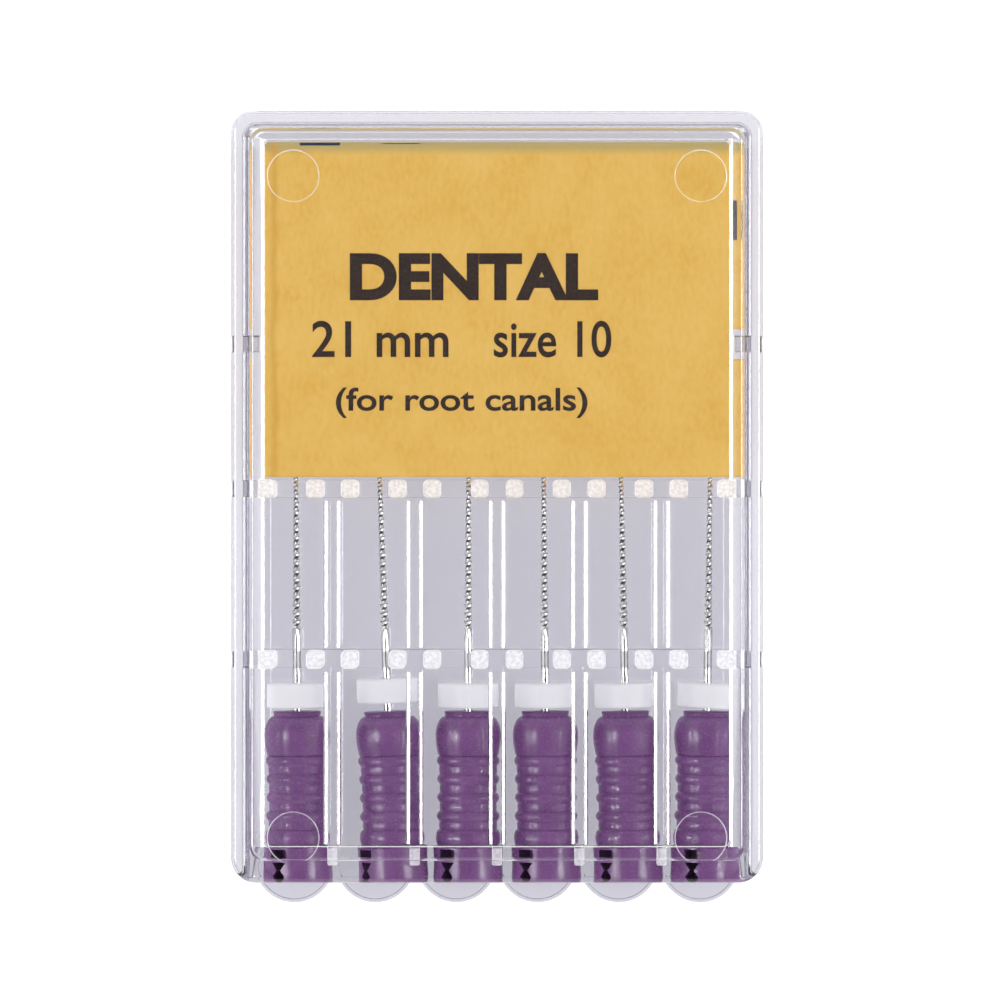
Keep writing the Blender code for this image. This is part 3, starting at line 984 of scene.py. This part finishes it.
def handleRadius(distance):
    # The handle's outer radius at a distance from its top: collar, bulb, four rings, wide ring, end.
    collarEnd, bulbTop, ringsStart = handle["collarEnd"], handle["bulbTop"], handle["ringsStart"]
    ringsEnd, wideEnd = handle["ringsEnd"], handle["wideRingEnd"]
    neck, bulb = handle["neckRadius"], handle["bulbRadius"]
    if distance < collarEnd:
        return neck + handle["neckLip"] * (1 - math.sin(math.pi / 2 * distance / collarEnd))
    if distance < bulbTop:
        return neck + (bulb - neck) * math.sin(math.acos((bulbTop - distance) / (bulbTop - collarEnd)))
    if distance < ringsStart:
        fall = (distance - bulbTop) / (ringsStart - bulbTop)
        return bulb - handle["bulbFall"] * (1 - math.cos(math.pi / 2 * fall))
    if distance < ringsEnd:
        pitch, width, rise = handle["ringPitch"], handle["ringWidth"], handle["waistRise"]
        ring, along = divmod(distance - ringsStart, pitch)
        base = handle["waist"] + rise * abs(ring - 1.5)
        if along < width:
            return base + handle["ringRise"] * math.sin(math.pi * along / width) ** 0.75
        return base + rise * math.sin(math.pi * (along - width) / (pitch - width))
    if distance < wideEnd:
        swell = math.sin(math.pi * (distance - ringsEnd) / (wideEnd - ringsEnd)) ** 0.5
        return handle["wideRingRadius"] + handle["wideRingRise"] * swell
    belly = math.cos(math.pi * (distance - handle["endMiddle"]) / handle["endSpan"])
    return handle["endRadius"] - handle["endBelly"] * belly


def makeHandle():
    depth, bore, rounding = files["tang"] + 0.1, handle["bore"], handle["endRound"]
    first, last = 0.05, handle["length"] - rounding
    outer = [(handleRadius(0.0) - 0.06, 0.0)]
    for index in range(handle["samples"] + 1):
        distance = first + (last - first) * index / handle["samples"]
        outer.append((handleRadius(distance), -distance))
    wide = handleRadius(last)
    for angle in (30, 60, 90):
        turn = math.radians(angle)
        outer.append((wide - rounding * (1 - math.cos(turn)), -last - rounding * math.sin(turn)))
    profile = [(0.0, -depth), (bore, -depth), (bore, 0.0)] + outer + [(0.0, -handle["length"])]
    slot = blocks([handle["slot"]], corners=(0.05, 0.05), top=0.03, bottom=0.03)
    low, high = handle["waistedSlot"]
    waisted = bmesh.new()
    addBlock(waisted, low, high)
    bmesh.ops.subdivide_edges(waisted, edges=[e for e in waisted.edges if isUpright(e)], cuts=7)
    middle, halfTall = (low[2] + high[2]) / 2, (high[2] - low[2]) / 2
    for v in waisted.verts:
        fromWaist = min(abs(v.co.z - middle) / halfTall, 1)
        v.co.x *= handle["slotWaist"] + (1 - handle["slotWaist"]) * fromWaist
    return carved(turned(profile, handle["steps"]), [
        ("DIFFERENCE", slot), ("DIFFERENCE", toMesh(waisted, "waisted slot")),
    ])


shaft = {
    "length": 21.0,  # out of the handle
    "fluted": 16.0,
    "shankRadius": 0.26,
    "shankSides": 24,
    "runOut": 0.5,  # where the round shank turns square
    "flutedHalf": 0.26,  # from the middle to a corner, where the flutes start
    "tipHalf": 0.06,
    "tipShare": 0.25,  # the very end is drawn in to this share
    "twistPitch": 2.06,
    "twistStep": 0.05,
    "hollow": 1.12,  # above 1 the square's sides are hollow
}


def makeShaft():
    # A wire is extruded round to the shank's end, then square in short steps, each one turned a little.
    shape = bmesh.new()
    start, end = shaft["length"] - shaft["fluted"], shaft["length"]
    ring = bmesh.ops.create_circle(
        shape, cap_ends=True, segments=shaft["shankSides"], radius=shaft["shankRadius"],
    )["verts"]
    bmesh.ops.translate(shape, verts=ring, vec=(0, 0, -files["tang"]))
    face = shape.faces[:][0]
    for height in (0.0, start - shaft["runOut"]):
        face = bmesh.ops.extrude_discrete_faces(shape, faces=[face])["faces"][0]
        for v in face.verts:
            v.co.z = height
    steps = int((end - start) / shaft["twistStep"])
    turn = math.tau * (end - start) / steps / shaft["twistPitch"]
    for index in range(steps + 1):
        share = index / steps
        half = shaft["flutedHalf"] + (shaft["tipHalf"] - shaft["flutedHalf"]) * share
        if index == steps:
            half *= shaft["tipShare"]
        face = bmesh.ops.extrude_discrete_faces(shape, faces=[face])["faces"][0]
        for v in face.verts:
            angle = math.atan2(v.co.y, v.co.x) + (turn if index else 0.0)
            fromCorner = angle - index * turn
            reach = half / (abs(math.cos(fromCorner)) + abs(math.sin(fromCorner))) ** shaft["hollow"]
            v.co = (reach * math.cos(angle), reach * math.sin(angle), start + share * (end - start))
    bmesh.ops.remove_doubles(shape, verts=shape.verts, dist=touching / 10)
    return toMesh(shape, "shaft")


stopRing = {
    "radius": 1.86,
    "thickness": 1.52,
    "hole": 0.29,
    "edge": 0.16,
    "steps": 72,
    "leans": {6: 2.0},  # degrees that a stop sits askew, by file
}


def makeStop():
    radius, thick, hole, edge = (stopRing[key] for key in ("radius", "thickness", "hole", "edge"))
    lower = [
        (radius + edge * (math.sin(turn) - 1), edge * (1 - math.cos(turn)))
        for turn in (math.radians(angle) for angle in (0, 22.5, 45, 67.5, 90))
    ]
    upper = [(out, thick - up) for out, up in reversed(lower)]
    return turned([(hole, 0.0)] + lower + upper + [(hole, thick), (hole, 0.0)], stopRing["steps"])


def makeFiles(nylon, steel, silicone):
    handleMesh, shaftMesh, stopMesh = makeHandle(), makeShaft(), makeStop()
    for number, roll in enumerate(files["rolls"], 1):
        place = filePlace(number)
        low, high = boxOf(f"stop_{number}")
        stopAt = (place.inverted() @ ((low + high) / 2)).z - stopRing["thickness"] / 2
        lean = Matrix.Rotation(math.radians(stopRing["leans"].get(number, 0.0)), 4, "Y")
        for name, source, turn, body, material, slot, node, sharp in (
            ("handle_body", handleMesh, Matrix.Rotation(math.radians(roll), 4, "Z"), "file", nylon,
             "purple_handle", "handle", 40),
            ("twisted_shaft", shaftMesh, Matrix(), "file", steel, "stainless_steel", "steel", 25),
            ("silicone_stop", stopMesh, Matrix.Translation((0, 0, stopAt)) @ lean, "stop", silicone,
             "white_silicone", "stop", 40),
        ):
            mesh = source.copy()
            mesh.transform(place @ turn)
            finishPiece(f"{name}_{number}", mesh, f"{body}_{number}", material,
                        [f"{node}_{number}"], sharp=sharp)


# Studio

studio = {
    "cameraAt": (0.18, 0.591, 350.0),
    "lens": 203.9,
    "sensor": 36.0,
    "nearest": 10.0,
    "farthest": 20000.0,
    "floorSize": 3000.0,
    "floorDrop": 0.02,
    "paper": "#a8a8a8",
    "paperGlow": 0.94,
    "sky": 1.1,
    "overhead": 0.02,
    "darkFrom": 0.62,  # heights on the sky's dome between which it darkens
    "darkFull": 0.80,
    "boxAngles": (44, 50),  # degrees from upright, left and right
    "boxInner": 7,
    "boxOuter": 15,
    "boxPower": 11.0,
    "bounces": 24,  # enough to pass all the walls of the case
}


def makeCamera(scene):
    camera = bpy.data.cameras.new("camera")
    camera.lens = studio["lens"]
    camera.sensor_width = studio["sensor"]
    camera.clip_start, camera.clip_end = studio["nearest"] * toMetres, studio["farthest"] * toMetres
    eye = bpy.data.objects.new("camera", camera)
    eye.location = Vector(studio["cameraAt"]) * toMetres
    scene.collection.objects.link(eye)
    scene.camera = eye


def makeFloor(scene):
    shape = bmesh.new()
    bmesh.ops.create_grid(shape, x_segments=1, y_segments=1, size=studio["floorSize"] / 2 * toMetres)
    mesh = bpy.data.meshes.new("floor")
    shape.to_mesh(mesh)
    shape.free()
    mesh.transform(Matrix.Translation((0, 0, -studio["floorDrop"] * toMetres)))
    floor = bpy.data.objects.new("floor", mesh)
    scene.collection.objects.link(floor)
    paper = newMaterial("white light table", {
        "Base Color": linear(studio["paper"]), "Roughness": 0.9, "Specular IOR Level": 0.1,
        "Emission Color": linear("#ffffff"), "Emission Strength": studio["paperGlow"],
    })[0]
    mesh.materials.append(paper)


def makeSky(scene):
    # A bright sky with a dark patch overhead and one soft box on each side of it.
    world = bpy.data.worlds.new("studio")
    scene.world = world
    world.use_nodes = True
    tree = world.node_tree
    tree.nodes.clear()
    towards = addNode(tree, "ShaderNodeTexCoord")
    parts = addNode(tree, "ShaderNodeSeparateXYZ", inputs=[(towards, "Generated")])
    light = addNode(tree, "ShaderNodeMapRange", {"interpolation_type": "SMOOTHSTEP"}, {
        "Value": (parts, "Z"), "From Min": studio["darkFrom"], "From Max": studio["darkFull"],
        "To Min": studio["sky"], "To Max": studio["overhead"],
    })
    outer, inner = (math.cos(math.radians(studio[key])) for key in ("boxOuter", "boxInner"))
    for side, angle in zip((-1, 1), studio["boxAngles"]):
        lean = math.radians(angle)
        facing = addNode(tree, "ShaderNodeVectorMath", {"operation": "DOT_PRODUCT"}, [
            (towards, "Generated"), (side * math.sin(lean), 0.0, math.cos(lean)),
        ])
        box = addNode(tree, "ShaderNodeMapRange", {"interpolation_type": "SMOOTHSTEP"}, {
            "Value": (facing, "Value"), "From Min": outer, "From Max": inner,
            "To Min": 0.0, "To Max": studio["boxPower"],
        })
        light = addNode(tree, "ShaderNodeMath", plus, [light, box])
    background = addNode(tree, "ShaderNodeBackground", inputs=[(1.0, 1.0, 1.0, 1.0), light])
    addNode(tree, "ShaderNodeOutputWorld", inputs=[background])


def makeStudio():
    scene = bpy.context.scene
    makeCamera(scene)
    makeFloor(scene)
    makeSky(scene)
    scene.view_settings.view_transform = "Standard"
    scene.cycles.max_bounces = studio["bounces"]
    scene.cycles.transmission_bounces = studio["bounces"]


# The tray's darker tint is partly painted shade; it is the same plastic as the cover.
makeTray(clearPolystyrene(
    "clear moulded polystyrene tray", polystyrene["trayTintAndPaintedShade"], polystyrene["trayShade"],
))
print("tray made")
makeCover(clearPolystyrene(
    "clear moulded polystyrene cover", polystyrene["coverTint"], polystyrene["coverShade"], isCover=True,
))
print("cover made")
makeCard(goldBoard())
makePrint(printInk("brown-black offset ink", printing["ink"]))
makeBars(printInk("navy offset ink", printing["barInk"]))
print("card and print made")
makeFiles(purpleNylon(), stainlessSteel(), whiteSilicone())
print("files made")
makeStudio()
print("studio made")
